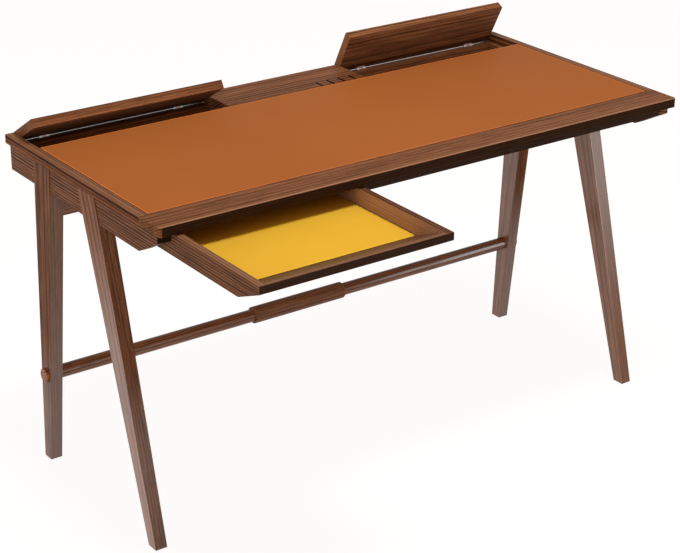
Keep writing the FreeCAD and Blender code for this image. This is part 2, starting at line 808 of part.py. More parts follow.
def hinge_leaf(name, middle, knuckles, plate_low, neck_low):
    """One leaf of a hinge about the line through the origin: a plate let into a kerf, with knuckles."""
    low_x = f"{middle} - {LEAF_WIDTH} / 2"
    plate = doc.addObject("Part::Box", f"Plate_{name}")
    bind(plate, "Length", LEAF_WIDTH)
    bind(plate, "Width", "leaf_thickness")
    bind(plate, "Height", "leaf_reach")
    bind(plate, "Placement.Base.x", low_x)
    bind(plate, "Placement.Base.y", f"-{HINGE_NOTCH} - leaf_thickness")
    bind(plate, "Placement.Base.z", plate_low)
    solids = [plate]
    for number in knuckles:
        start = f"{low_x} + {number} * (knuckle_width + knuckle_gap)"
        neck = doc.addObject("Part::Box", f"Neck_{name}_{number}")
        bind(neck, "Length", "knuckle_width")
        bind(neck, "Width", HINGE_NOTCH)
        bind(neck, "Height", "leaf_thickness")
        bind(neck, "Placement.Base.x", start)
        bind(neck, "Placement.Base.y", f"-{HINGE_NOTCH}")
        bind(neck, "Placement.Base.z", neck_low)
        barrel = doc.addObject("Part::Cylinder", f"Knuckle_{name}_{number}")
        bind(barrel, "Radius", "knuckle_radius")
        bind(barrel, "Height", "knuckle_width")
        lie_along_x(barrel)
        bind(barrel, "Placement.Base.x", start)
        solids += [neck, barrel]
    joined = doc.addObject("Part::MultiFuse", f"Leaf_{name}")
    joined.Shapes = solids
    bore = doc.addObject("Part::Cylinder", f"Bore_{name}")
    bind(bore, "Radius", "rod_radius + rod_play")
    bind(bore, "Height", LEAF_WIDTH)
    lie_along_x(bore)
    bind(bore, "Placement.Base.x", low_x)
    leaf = doc.addObject("Part::Cut", f"Bored_{name}")
    leaf.Base = joined
    leaf.Tool = bore
    return leaf


def make_hinges(word, side, angle):
    rod = doc.addObject("Part::Cylinder", f"Rod_{word}")
    bind(rod, "Radius", "rod_radius")
    bind(rod, "Height", lid_length(side))
    lie_along_x(rod)
    place(rod, f"{lid_centre(side)} - {lid_length(side)} / 2", HINGE_Y, UNDER_TOP)
    subpart(rod, f"{word}_hinge_rod")

    kinds = (
        ("fixed", (0, 2), "-leaf_reach", "-leaf_thickness"),
        ("lid", (1,), "lid_clearance", "lid_clearance"),
    )
    for kind, knuckles, plate_low, neck_low in kinds:
        leaves = []
        for end in (-1, 1):
            name = f"{word}_{kind}_{end + 1}"
            middle = f"{end} * {hinge_offset(side)}"
            leaves.append(hinge_leaf(name, middle, knuckles, plate_low, neck_low))
        pair = group(f"{word}_{kind}_hinge_leaves", leaves)
        place(pair, lid_centre(side), HINGE_Y, UNDER_TOP)
        if kind == "lid":
            tilt(pair, angle)


make_front_rail()
make_writing_surface()
make_centre_panel()
make_rear_apron()
make_case()
make_cross_rail()
make_stretcher()
make_glides()
for word, side in SIDES.items():
    make_side_rail(word, side)
    make_side_apron(word, side)
    make_leg(word, side, "front")
    make_leg(word, side, "rear")
    make_bay(word, side)
    make_lid(word, side, f"{word}_lid_angle")
    make_hinges(word, side, f"{word}_lid_angle")
make_drawer("left", SIDES["left"], LEFT_DRAWER_OPEN)
make_drawer("right", SIDES["right"], "0")
doc.recompute()

for obj in doc.Objects:
    if "Invalid" in obj.State or "Error" in obj.State:
        raise RuntimeError(f"{obj.Name} failed: {obj.State}")
for piece in subparts:
    if piece.Shape.isNull() or not piece.Shape.isValid() or not piece.Shape.Solids:
        raise RuntimeError(f"{piece.Label} has no valid solid")

os.makedirs("parts", exist_ok=True)
for piece in subparts:
    piece.Shape.exportStep(f"parts/{piece.Label}.step")
print(len(subparts), "pieces written")
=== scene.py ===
"""Walnut writing desk with a leather top, two lift-up lids and two lined drawers, dressed for a render."""
import bpy
import json
import math
from mathutils import Matrix, Vector


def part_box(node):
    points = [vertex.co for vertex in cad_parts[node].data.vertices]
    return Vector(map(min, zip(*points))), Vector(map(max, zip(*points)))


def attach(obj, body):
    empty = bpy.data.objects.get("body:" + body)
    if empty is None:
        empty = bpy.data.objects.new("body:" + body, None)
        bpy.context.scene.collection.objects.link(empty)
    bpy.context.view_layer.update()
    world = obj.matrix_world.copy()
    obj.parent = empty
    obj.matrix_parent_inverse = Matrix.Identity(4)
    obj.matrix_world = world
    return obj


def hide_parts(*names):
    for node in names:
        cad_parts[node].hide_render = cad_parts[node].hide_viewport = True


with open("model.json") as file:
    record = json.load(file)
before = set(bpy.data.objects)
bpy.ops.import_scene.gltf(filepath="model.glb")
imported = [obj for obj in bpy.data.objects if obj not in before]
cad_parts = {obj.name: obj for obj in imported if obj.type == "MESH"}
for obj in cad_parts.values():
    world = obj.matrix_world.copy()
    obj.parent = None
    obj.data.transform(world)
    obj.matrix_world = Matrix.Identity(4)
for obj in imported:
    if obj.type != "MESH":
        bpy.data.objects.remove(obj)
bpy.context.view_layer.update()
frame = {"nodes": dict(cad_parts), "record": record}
nodes = frame["nodes"]

# Legs: four splayed legs of solid walnut, tapered towards the foot, with the grain along each leg.
# They are lacquered satin, half-lapped into the side aprons and eased along their edges.
# Their front faces carry painted shade, and their lacquer is laid unevenly by face and height as a painted
# sheen.
SIDEWAYS = (1, 0, 0)
BACKWARD = (0, 1, 0)
UPWARD = (0, 0, 1)
LEFTWARD = (-1, 0, 0)
FORWARD = (0, -1, 0)


class Tone:
    """A socket of a finish. Arithmetic on it adds Math nodes, and add() puts in any other node."""

    def __init__(self, tree, socket=None):
        self.tree = tree
        self.socket = socket

    def add(self, kind, settings={}, inputs={}, output=0):
        node = self.tree.nodes.new("ShaderNode" + kind)
        for key, value in settings.items():
            setattr(node, key, value)
        for key, value in inputs.items():
            self.feed(node.inputs[key], value)
        return Tone(self.tree, node.outputs[output])

    def feed(self, socket, value):
        if isinstance(value, Tone):
            self.tree.links.new(value.socket, socket)
        else:
            socket.default_value = value

    def sum(self, operation, first, second=0.0):
        return self.add("Math", {"operation": operation}, {0: first, 1: second})

    def __add__(self, other):
        return self.sum("ADD", self, other)

    def __radd__(self, other):
        return self.sum("ADD", other, self)

    def __sub__(self, other):
        return self.sum("SUBTRACT", self, other)

    def __rsub__(self, other):
        return self.sum("SUBTRACT", other, self)

    def __mul__(self, other):
        return self.sum("MULTIPLY", self, other)

    def __rmul__(self, other):
        return self.sum("MULTIPLY", other, self)

    def __truediv__(self, other):
        return self.sum("DIVIDE", self, other)

    def __pow__(self, other):
        return self.sum("POWER", self, other)

    def __abs__(self):
        return self.sum("ABSOLUTE", self)

    def along(self, direction):
        """The part of a place that lies along a direction."""
        return self.add("VectorMath", {"operation": "DOT_PRODUCT"}, {0: self, 1: direction}, 1)

    def axes(self):
        """The parts of a place to the right, to the back and up."""
        return [self.along(axis) for axis in (SIDEWAYS, BACKWARD, UPWARD)]

    def step(self, low, high):
        """0 below low and 1 above high, eased between them."""
        settings = {"interpolation_type": "SMOOTHSTEP"}
        return self.add("MapRange", settings, {"Value": self, "From Min": low, "From Max": high})

    def cloud(self, x, y, z, detail=2.0, roughness=0.5):
        """Soft noise at a place that is given by three numbers."""
        place = self.add("CombineXYZ", {}, {0: x, 1: y, 2: z})
        inputs = {"Vector": place, "Scale": 1.0, "Detail": detail, "Roughness": roughness}
        return self.add("TexNoise", {}, inputs)

    def mix(self, first, second):
        """This much of the second colour over the first."""
        return self.add("Mix", {"data_type": "RGBA"}, {0: self, 6: first, 7: second}, 2)


def colour(red, green, blue):
    """A screen colour, 0 to 255, as the light that it stands for."""
    light = []
    for value in (red, green, blue):
        share = value / 255
        light.append(share / 12.92 if share <= 0.04045 else ((share + 0.055) / 1.055) ** 2.4)
    return (*light, 1.0)


def new_finish(name, roughness, shine):
    """A material, its shader and its Object coordinates."""
    finish = bpy.data.materials.new(name)
    finish.use_nodes = True
    shader = finish.node_tree.nodes["Principled BSDF"]
    shader.inputs["Roughness"].default_value = roughness
    shader.inputs["Specular IOR Level"].default_value = shine
    place = Tone(finish.node_tree).add("TexCoord", output=3)
    return finish, shader, place


def bumped(place, height, depth, strength):
    """A surface normal from heights between 0 and 1 that stand for a depth in metres."""
    return place.add("Bump", {}, {"Strength": strength, "Distance": depth, "Height": height})


PALE_WALNUT = colour(164, 112, 74)
WALNUT = colour(134, 88, 57)
DEEP_WALNUT = colour(74, 46, 29)
DARK_LINE = colour(28, 17, 10)
RED_WALNUT = colour(134, 73, 44)
PAINTED_LIGHT_TONE = colour(202, 158, 120)
GREY_PAINTED_SHADE = colour(112, 90, 73)
DARKEST_LINE = 0.92
LACQUER_ROUGHNESS = 0.22
GRAIN_DEPTH = 0.0004


def lit(shade, light):
    """A colour made lighter or darker."""
    return (shade[0] * light, shade[1] * light, shade[2] * light, 1.0)


def walnut(name, middle, along, across, heart, pitch, bold, seed, flow=0.004, shine=0.05,
           roughness=0.42, red=0.25, light=1.0, painted_shade=None, shade_tone=DARK_LINE, painted_light=None,
           painted_sheen=None, gloss=1.7):
    """Oiled walnut. Growth rings lie round the tree's heart, which runs along the grain at a distance from
    the board's middle, across its face and through its thickness. Three optional masks give the places
    painted darker as shade, the places painted paler as light or highlight, and the places with a coat of
    lacquer laid to show a painted sheen or highlight."""
    finish, shader, place = new_finish(name, roughness, shine)
    along, across = Vector(along), Vector(across)
    through = along.cross(across)
    u = place.along(along) + seed * 1.7
    v = place.along(across) - (middle.dot(across) + heart[0])
    w = place.along(through) - (middle.dot(through) + heart[1])

    # growth rings, bent along the board, uneven in width and each of its own darkness
    bend = place.cloud(u * 1.5, v * 7.0, w * 7.0, detail=3.0) - 0.5
    ripple = place.cloud(u * 14.0, v * 60.0, w * 60.0, detail=2.0) - 0.5
    reach = (v * v + w * w) ** 0.5 + bend * (2 * flow) + ripple * 0.0016
    uneven = place.cloud(reach * 45.0, u * 0.3, seed, detail=1.0)
    count = reach / pitch + uneven * 2.0
    ring = place.sum("FRACT", count)
    late_wood = ring.step(0.46, 0.66) * (1 - ring.step(0.86, 0.98))
    darkness = place.cloud((count - ring) * 0.73, seed * 3.1, u * 0.6, detail=0.0).step(0.32, 0.68)
    inner_ring = place.sum("FRACT", count * 2.71 + uneven)
    inner_lines = inner_ring.step(0.35, 0.8) * (1 - inner_ring.step(0.86, 1.0))
    lines = (late_wood * (0.4 + 0.6 * darkness) + inner_lines * 0.4) * bold
    lines = place.sum("MINIMUM", lines, DARKEST_LINE)

    # broad bands of colour, fine fibres and short open pores
    band = place.cloud(u * 0.5, v * 26.0, w * 26.0, detail=2.0).step(0.3, 0.72)
    blush = place.cloud(u * 0.9 + 5.0, v * 12.0, w * 12.0, detail=1.0).step(0.4, 0.7) * red
    fibre = place.cloud(u * 12.0, v * 420.0, w * 420.0, detail=2.0, roughness=0.6)
    pore = place.cloud(u * 110.0, v * 1500.0, w * 1500.0, detail=1.0).step(0.60, 0.70)

    wood = band.mix(lit(PALE_WALNUT, light), lit(WALNUT, light))
    wood = blush.mix(wood, lit(RED_WALNUT, light))
    wood = (fibre.step(0.42, 0.64) * 0.6).mix(wood, lit(DEEP_WALNUT, light))
    wood = lines.mix(wood, DARK_LINE)
    wood = (pore * 0.5).mix(wood, DARK_LINE)
    # painted light and highlight, then painted shade, then lacquer laid as a painted sheen
    if painted_light is not None:
        wood = painted_light(place).mix(wood, PAINTED_LIGHT_TONE)
    if painted_shade is not None:
        wood = painted_shade(place).mix(wood, shade_tone)
    if painted_sheen is not None:
        shader.inputs["Coat Roughness"].default_value = LACQUER_ROUGHNESS
        shader.inputs["Coat IOR"].default_value = gloss
        place.feed(shader.inputs["Coat Weight"], painted_sheen(place))
    place.feed(shader.inputs["Base Color"], wood)
    place.feed(shader.inputs["Roughness"], roughness + 0.16 * pore + 0.10 * (fibre - 0.5))
    grain = fibre * 0.5 - pore * 0.8 - lines * 0.2
    place.feed(shader.inputs["Normal"], bumped(place, grain, GRAIN_DEPTH, 0.35))
    return finish


FRONT_SKIN = (0.0002, 0.0009)


def front_edge(name, amount=0.9):
    """Painted shade on a piece's front face."""
    low, high = (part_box(name)[0].y + skin for skin in FRONT_SKIN)
    return lambda place: amount * (1 - place.along(BACKWARD).step(low, high))


def top_edge(name, depth, amount):
    """A painted highlight or painted shade along a piece's top, down to a depth."""
    top_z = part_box(name)[1].z
    return lambda place: amount * place.along(UPWARD).step(top_z - depth, top_z - depth / 2)


def middle_of(name):
    low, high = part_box(name)
    return (low + high) / 2


WELD_GAP = 0.00001
EASED_ANGLE = math.radians(40)


def dress(name, finish, easing=0.0006):
    """Give a CAD piece its finish, and ease its sharp edges."""
    piece = nodes[name]
    piece.material_slots[0].material = finish
    if easing:
        weld = piece.modifiers.new("joined", "WELD")
        weld.merge_threshold = WELD_GAP
        bevel = piece.modifiers.new("eased", "BEVEL")
        bevel.width = easing
        bevel.segments = 2
        bevel.limit_method = "ANGLE"
        bevel.angle_limit = EASED_ANGLE


LEG_LEAN = {"front": math.radians(16.28), "rear": math.radians(-4.85)}
# each leg: lightness, set leg by leg partly as painted light; the colour of the painted shade on its front
# and how much; the gloss of its lacquer; and the lacquer on its left face and on its front, laid unevenly
# as a painted sheen
LEGS = (
    ("left_front_leg", 1.18, DARK_LINE, 0.38, 1.7, (1.0, 0.1, 0.35, 0.72), (0.28, 0.0, 0.1, 0.4)),
    ("left_rear_leg", 0.78, GREY_PAINTED_SHADE, 0.36, 1.7, (0.5, 0.0, 0.1, 0.35), (1.0, 0.4, 0.1, 0.6)),
    ("right_front_leg", 1.25, GREY_PAINTED_SHADE, 0.5, 2.4, (0.36, 0.36, 0.0, 0.7), (0.1, 0.9, 0.05, 0.6)),
    ("right_rear_leg", 1.12, DARK_LINE, 0.35, 1.7, (0.9, 0.9, 0.0, 0.7), (1.0, 0.0, 0.15, 0.45)),
)


FLAT_SKIN = (0.0006, 0.0001)


def flat_face(name, way):
    """A mask of a piece's largest flat that faces one way."""
    facing = [flat for flat in nodes[name].data.polygons if flat.normal.dot(Vector(way)) > 0.9]
    largest = max(facing, key=lambda flat: flat.area)
    normal = largest.normal.copy()
    reach = normal.dot(largest.center)
    low, high = (reach - skin for skin in FLAT_SKIN)
    return lambda place: place.along(normal).step(low, high)


def lacquer(left, front, on_left, on_front):
    """The lacquer on a leg's left face and on its front, laid unevenly as a painted sheen: how much lies
    on its foot and on its head, and the heights between which it changes."""
    def laid(place):
        total = 0.0
        for face, (foot, head, low, high) in ((left, on_left), (front, on_front)):
            rise = place.along(UPWARD).step(low, high)
            total = face(place) * (foot + (head - foot) * rise) + total
        return total

    return laid


for number, (name, light, shade_tone, dark, gloss, on_left, on_front) in enumerate(LEGS):
    lean = LEG_LEAN[name.split("_")[1]]
    left = flat_face(name, LEFTWARD)
    front = flat_face(name, FORWARD)
    up_the_leg = (0, math.sin(lean), math.cos(lean))
    over_the_leg = (0, math.cos(lean), -math.sin(lean))
    # the front face is painted with shade, and the lacquer is laid as a painted sheen
    finish = walnut(
        "walnut_" + name, middle_of(name), up_the_leg, over_the_leg, heart=(0.03, 0.12),
        pitch=0.006, bold=0.5, seed=2.3 * number + 0.7, flow=0.002, shine=0.03, roughness=0.3,
        red=0.35, light=light, painted_shade=lambda place: front(place) * dark, shade_tone=shade_tone,
        painted_sheen=lacquer(left, front, on_left, on_front), gloss=gloss,
    )
    dress(name, finish, easing=0)

# Foot glides: low round pads of dark nylon, pinned under the four feet.
# The moulded face is slightly grained and dull.
glide_finish, shader, place = new_finish("glide_nylon", 0.5, 0.3)
x, y, z = place.axes()
speckle = place.cloud(x * 900.0, y * 900.0, z * 900.0, detail=1.0)
place.feed(shader.inputs["Base Color"], speckle.mix(colour(34, 30, 28), colour(50, 45, 41)))
place.feed(shader.inputs["Roughness"], 0.42 + 0.2 * speckle)
dress("foot_glides", glide_finish, easing=0.0004)

# Stretcher: a turned walnut rod with round tenons through the rear legs, a foot-rest sleeve
# round its middle and a turned knob over each tenon. Rod and knobs are polished, the sleeve is dull.
# each piece: ring width, ring strength, roughness, shine, redness and lightness
TURNED = (
    ("stretcher_rod", 0.008, 0.95, 0.3, 0.3, 0.5, 1.1),
    ("stretcher_sleeve", 0.006, 0.45, 0.5, 0.2, 0.6, 0.78),
    ("stretcher_left_knob", 0.006, 0.7, 0.36, 0.2, 0.5, 1.5),
    ("stretcher_right_knob", 0.006, 0.7, 0.36, 0.2, 0.5, 1.5),
)
ROD_RADIUS = 0.0153
ROD_FACE = Vector((0, -0.927, 0.375))


def painted_highlight_line(place):
    """A painted highlight: a thin band of lacquer along the right half of the rod, facing front and a
    little up, where it mirrors the bright wall.
    """
    reach = place.along(ROD_FACE) - middle_of("stretcher_rod").dot(ROD_FACE)
    band = reach.step(0.95 * ROD_RADIUS, 0.985 * ROD_RADIUS)
    return band * place.along(SIDEWAYS).step(0.1, 0.5)


for number, (name, pitch, bold, roughness, shine, red, light) in enumerate(TURNED):
    finish = walnut(
        "walnut_" + name, middle_of(name), SIDEWAYS, BACKWARD, heart=(0.05, 0.12), pitch=pitch,
        bold=bold, seed=11.3 + 3.1 * number, flow=0.002, shine=shine, roughness=roughness, red=red,
        light=light, painted_sheen=painted_highlight_line if name == "stretcher_rod" else None, gloss=3.0,
    )
    dress(name, finish, easing=0)

# Cross rail: a flat walnut board on edge between the heads of the rear legs, under the case.
# It is glued between their inner faces and keeps the frame square.
finish = walnut(
    "walnut_cross_rail", middle_of("rear_cross_rail"), SIDEWAYS, UPWARD, heart=(0.2, 0.03),
    pitch=0.009, bold=0.5, seed=21.9, shine=0.3,
)
dress("rear_cross_rail", finish, easing=0.001)

# Side aprons: walnut boards under the ends of the top, with strong straight grain along them.
# Their front foot is cut back, and the legs are let into their outer faces.
for number, name in enumerate(("left_side_apron", "right_side_apron")):
    # the left apron's front face is painted with shade
    finish = walnut(
        "walnut_" + name, middle_of(name), BACKWARD, UPWARD, heart=(0.22, 0.05), pitch=0.006,
        bold=1.5, seed=31.1 + 4.7 * number, flow=0.003, red=0.15, light=1.08,
        painted_shade=front_edge(name) if name == "left_side_apron" else None,
    )
    dress(name, finish, easing=0)

# Case: rear apron, bottom, compartment wall, partitions and compartment ends, all of walnut board
# and glued together, with the short fixed front between the drawers.
# each board: the way of its grain, the way across its face and the strength of its rings
CASE_BOARDS = (
    ("rear_apron", SIDEWAYS, UPWARD, 0.6),
    ("bottom_panel", SIDEWAYS, BACKWARD, 0.4),
    ("compartment_wall", SIDEWAYS, UPWARD, 0.5),
    ("left_partition", BACKWARD, UPWARD, 0.5),
    ("right_partition", BACKWARD, UPWARD, 0.5),
    ("left_compartment_end", BACKWARD, UPWARD, 0.5),
    ("right_compartment_end", BACKWARD, UPWARD, 0.5),
    ("centre_fascia", SIDEWAYS, UPWARD, 0.5),
)
# The fronts of the bottom panel and the centre fascia are painted with shade.
SHADED_FRONTS = ("bottom_panel", "centre_fascia")
for number, (name, along, across, bold) in enumerate(CASE_BOARDS):
    finish = walnut(
        "walnut_" + name, middle_of(name), along, across, heart=(0.25, 0.06), pitch=0.009,
        bold=bold, seed=41.3 + 2.9 * number,
        painted_shade=front_edge(name) if name in SHADED_FRONTS else None,
    )
    dress(name, finish)

# Drawer runners: guides beside each drawer, kickers above it, two stops behind it and a catch,
# plain walnut slips glued and pinned inside the bays.
for number, word in enumerate(("left", "right")):
    for part, along, across in (
        ("guides", BACKWARD, UPWARD),
        ("kickers", BACKWARD, SIDEWAYS),
        ("stops", UPWARD, SIDEWAYS),
        ("catch", SIDEWAYS, BACKWARD),
    ):
        name = f"{word}_drawer_{part}"
        finish = walnut(
            "walnut_" + name, middle_of(name), along, across, heart=(0.15, 0.08), pitch=0.008,
            bold=0.35, seed=71.7 + 5.3 * number + len(part),
        )
        dress(name, finish, easing=0.0005)

# Case screws: countersunk steel wood screws with a cross recess, driven up through the bottom
# panel into the compartment wall and the two partitions.
SCREW_RADIUS = 0.0042
SCREW_DEPTH = 0.003
SCREW_PROUD = 0.0003
SCREW_EASING = 0.0003
SCREW_TURN = 0.7
RECESS = (0.0046, 0.0009, 0.0018)
WALL_SPOTS = (0.09, 0.33, 0.57)
PARTITION_SHARES = (0.12, 0.5, 0.88)
bpy.ops.object.select_all(action="DESELECT")
bpy.ops.mesh.primitive_cylinder_add(vertices=24, radius=SCREW_RADIUS, depth=SCREW_DEPTH)
screw = bpy.context.object
bpy.ops.object.mode_set(mode="EDIT")
bpy.ops.mesh.select_all(action="SELECT")
bpy.ops.mesh.bevel(offset=SCREW_EASING, segments=2, affect="EDGES")
bpy.ops.object.mode_set(mode="OBJECT")
for turn in (0, 90):
    bpy.ops.mesh.primitive_cube_add(size=1, location=(0, 0, -SCREW_DEPTH / 2))
    cutter = bpy.context.object
    cutter.scale = RECESS
    cutter.rotation_euler = (0, 0, math.radians(turn))
    bpy.ops.object.transform_apply(location=True, rotation=True, scale=True)
    cut = screw.modifiers.new("recess", "BOOLEAN")
    cut.object = cutter
    bpy.context.view_layer.objects.active = screw
    bpy.ops.object.modifier_apply(modifier="recess")
    bpy.data.objects.remove(cutter)
screw_steel, shader, place = new_finish("screw_steel", 0.35, 0.5)
shader.inputs["Metallic"].default_value = 1.0
x, y, z = place.axes()
dulled = place.cloud(x * 300.0, y * 300.0, z * 300.0)
place.feed(shader.inputs["Base Color"], dulled.mix(colour(196, 190, 178), colour(150, 144, 134)))
place.feed(shader.inputs["Roughness"], 0.25 + 0.3 * dulled)
screw.data.materials.append(screw_steel)
panel_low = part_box("bottom_panel")[0]
wall_y = middle_of("compartment_wall").y
screw_spots = [(side * x, wall_y) for x in WALL_SPOTS for side in (-1, 1)]
for name in ("left_partition", "right_partition"):
    low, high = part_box(name)
    for share in PARTITION_SHARES:
        screw_spots.append(((low.x + high.x) / 2, low.y + share * (high.y - low.y)))
for number, (x, y) in enumerate(screw_spots, start=1):
    piece = screw.copy()
    piece.data = screw.data.copy()
    piece.name = f"case_screw_{number}"
    bpy.context.scene.collection.objects.link(piece)
    turned = Matrix.Rotation(SCREW_TURN * number, 4, "Z")
    middle = (x, y, panel_low.z + SCREW_DEPTH / 2 - SCREW_PROUD)
    piece.data.transform(Matrix.Translation(middle) @ turned)
    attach(piece, "desk")
bpy.data.objects.remove(screw)

# Top rails: a wide walnut rail along the front with round corners, and a narrow rail at each end.
# They frame the writing panel, which is hidden under the leather.
RAIL_HIGHLIGHT = 0.4
HIGHLIGHT_REACH = (0.004, 0.009)
HIGHLIGHT_DEPTH = (0.001, 0.0003)
rail_low, rail_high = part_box("top_front_rail")


def rail_edge(place):
    """The painted highlight along the front of the rail's top."""
    near, far = (rail_low.y + reach for reach in HIGHLIGHT_REACH)
    deep, shallow = (rail_high.z - depth for depth in HIGHLIGHT_DEPTH)
    along_front = 1 - place.along(BACKWARD).step(near, far)
    return RAIL_HIGHLIGHT * along_front * place.along(UPWARD).step(deep, shallow)


# the rail's front face is painted with shade, and a painted highlight runs along the front of its top
finish = walnut(
    "walnut_front_rail", middle_of("top_front_rail"), SIDEWAYS, BACKWARD, heart=(0.15, 0.3),
    pitch=0.006, bold=0.55, seed=91.2, flow=0.002, shine=0.02, red=0.0, light=0.86,
    painted_shade=front_edge("top_front_rail"),
    painted_light=rail_edge,
)
dress("top_front_rail", finish, easing=0.0004)
for number, name in enumerate(("top_left_rail", "top_right_rail")):
    # a painted highlight runs along each end rail's top edge
    finish = walnut(
        "walnut_" + name, middle_of(name), BACKWARD, SIDEWAYS, heart=(0.16, 0.1), pitch=0.0075,
        bold=1.6, seed=95.8 + 3.3 * number, flow=0.002, shine=0.02, red=0.35, light=0.95,
        painted_light=top_edge(name, 0.001, 0.2),
    )
    dress(name, finish, easing=0.0004)
finish = walnut(
    "walnut_writing_panel", middle_of("writing_panel"), SIDEWAYS, BACKWARD, heart=(0.4, 0.1),
    pitch=0.009, bold=0.4, seed=103.0,
)
dress("writing_panel", finish)

# Leather: one tan hide glued into the top, flush with the rails, with its edges turned, a paler band along
# them and painted shade in the joint at its outer edge. Its grain is fine and close, and the finish is
# dull.
GAP_SHADE = colour(44, 20, 26)
GAP_SHADE_REACH = (0.0010, 0.0020)
RIM_REACH = (0.0028, 0.0044)
HIDE_DEPTH = 0.00025


def hide(name, node, edge, grain, pale_edge, plain, deep, roughness, shine):
    """A glued sheet in the place of a CAD node, with rounded top edges, a fine grain, a paler band along
    its edges and painted shade in the joint at its outer edge.
    """
    low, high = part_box(node)
    bpy.ops.object.select_all(action="DESELECT")
    bpy.ops.mesh.primitive_cube_add(size=1, location=(low + high) / 2)
    sheet = bpy.context.object
    sheet.name = name
    sheet.scale = high - low
    bpy.ops.object.transform_apply(location=True, rotation=False, scale=True)
    bpy.ops.object.mode_set(mode="EDIT")
    bpy.ops.mesh.select_all(action="DESELECT")
    bpy.ops.object.mode_set(mode="OBJECT")
    for line in sheet.data.edges:
        ends = [sheet.data.vertices[i].co for i in line.vertices]
        line.select = all(end.z > high.z - 1e-6 for end in ends)
    bpy.ops.object.mode_set(mode="EDIT")
    bpy.ops.mesh.select_mode(type="EDGE")
    bpy.ops.mesh.bevel(offset=edge, segments=4, affect="EDGES")
    bpy.ops.object.mode_set(mode="OBJECT")
    bpy.ops.object.shade_smooth_by_angle(angle=math.radians(50))

    finish, shader, place = new_finish(name + "_finish", roughness, shine)
    x, y, z = place.axes()
    middle, half = (low + high) / 2, (high - low) / 2
    from_end = half.x - abs(x - middle.x)
    from_side = half.y - abs(y - middle.y)
    inside = place.sum("MINIMUM", from_end, from_side)
    rim = 1 - inside.step(*RIM_REACH)
    gap_shade = 1 - inside.step(*GAP_SHADE_REACH)
    pebble = place.add(
        "TexVoronoi", {"feature": "SMOOTH_F1"}, {"Vector": place, "Scale": grain, "Smoothness": 0.6}
    )
    cloudy = place.cloud(x * 2.2, y * 2.2, z * 2.2, detail=2.0)
    fine = place.cloud(x * 260.0, y * 260.0, z * 260.0, detail=3.0)
    skin = cloudy.step(0.3, 0.75).mix(plain, deep)
    skin = (pebble.step(0.35, 0.8) * 0.12).mix(skin, deep)
    skin = (rim * 0.75).mix(skin, pale_edge)
    # the outermost millimetre or two is painted dark as the shade in the joint
    place.feed(shader.inputs["Base Color"], (gap_shade * 0.95).mix(skin, GAP_SHADE))
    place.feed(shader.inputs["Roughness"], roughness + 0.12 * (fine - 0.5) - 0.05 * rim)
    height = 0.7 * (1 - pebble) + 0.3 * fine
    place.feed(shader.inputs["Normal"], bumped(place, height, HIDE_DEPTH, 0.3))
    sheet.data.materials.append(finish)
    return sheet


leather = hide(
    "leather_top", "leather_inlay", edge=0.0012, grain=900.0, pale_edge=colour(236, 140, 70),
    plain=colour(168, 103, 52), deep=colour(163, 99, 50), roughness=0.6, shine=0.03,
)
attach(leather, "desk")
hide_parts("leather_inlay")

# Centre panel: the fixed walnut board between the lids, with four cable slots cut in from its front.
# It lies flush with the leather and the rails.
SLOT_HALF = (0.0027, 0.0030)
SLOT_END = (0.002, 0.003)


def slot_walls(place):
    """Painted shade in the cable slots."""
    x, y = place.along(SIDEWAYS), place.along(BACKWARD)
    found = 0.0
    for opening in frame["record"]["physics"]["openings"]:
        if opening["name"].startswith("cable_slot"):
            low, high = opening["box_m"]
            beside = 1 - abs(x - (low[0] + high[0]) / 2).step(*SLOT_HALF)
            near, far = (high[1] + reach for reach in SLOT_END)
            found = place.sum("MAXIMUM", beside * (1 - y.step(near, far)), found)
    return found


finish = walnut(
    "walnut_centre_panel", middle_of("centre_panel"), SIDEWAYS, BACKWARD, heart=(0.15, 0.25),
    pitch=0.007, bold=0.9, seed=111.4, flow=0.002, shine=0.02, red=0.2, light=0.98,
    painted_shade=slot_walls,
)
dress("centre_panel", finish, easing=0.0004)

# Lids: walnut boards hinged along the back edge, grooved underneath for their hinge rods.
# The grain runs along them and their front edges are square.
# each lid: how far it stands open, lightness, painted shade underneath and painted light on its left end
LIDS = (("left_lid", 31.5, 0.95, 0.0, 0.0), ("right_lid", 62.5, 1.0, 0.15, 0.1))
SHADE_FADE = 0.14
FACE_SKIN = 0.0002


def outermost(name, way, depth=0.0009):
    """The face where a piece reaches furthest one way, fading over a depth."""
    reach = max(way.dot(corner.co) for corner in nodes[name].data.vertices)
    return lambda place: place.along(way).step(reach - depth, reach - FACE_SKIN)


for number, (name, angle, light, dark, pale) in enumerate(LIDS):
    turn = math.radians(angle)
    back = Vector((0, math.cos(turn), -math.sin(turn)))
    under = outermost(name, Vector((0, -math.sin(turn), -math.cos(turn))))
    fade = outermost(name, -back, SHADE_FADE)
    left_end = outermost(name, Vector(LEFTWARD))
    # the underside is painted with shade, strongest at the free edge and fading towards the hinge, and the
    # left end is painted lighter as light
    finish = walnut(
        "walnut_" + name, middle_of(name), SIDEWAYS, back, heart=(0.06, 0.16), pitch=0.006,
        bold=0.65, seed=121.6 + 6.1 * number, flow=0.004, red=0.5, light=light,
        painted_shade=lambda place: under(place) * fade(place) * dark,
        painted_light=lambda place: left_end(place) * pale,
    )
    dress(name, finish, easing=0.0005)

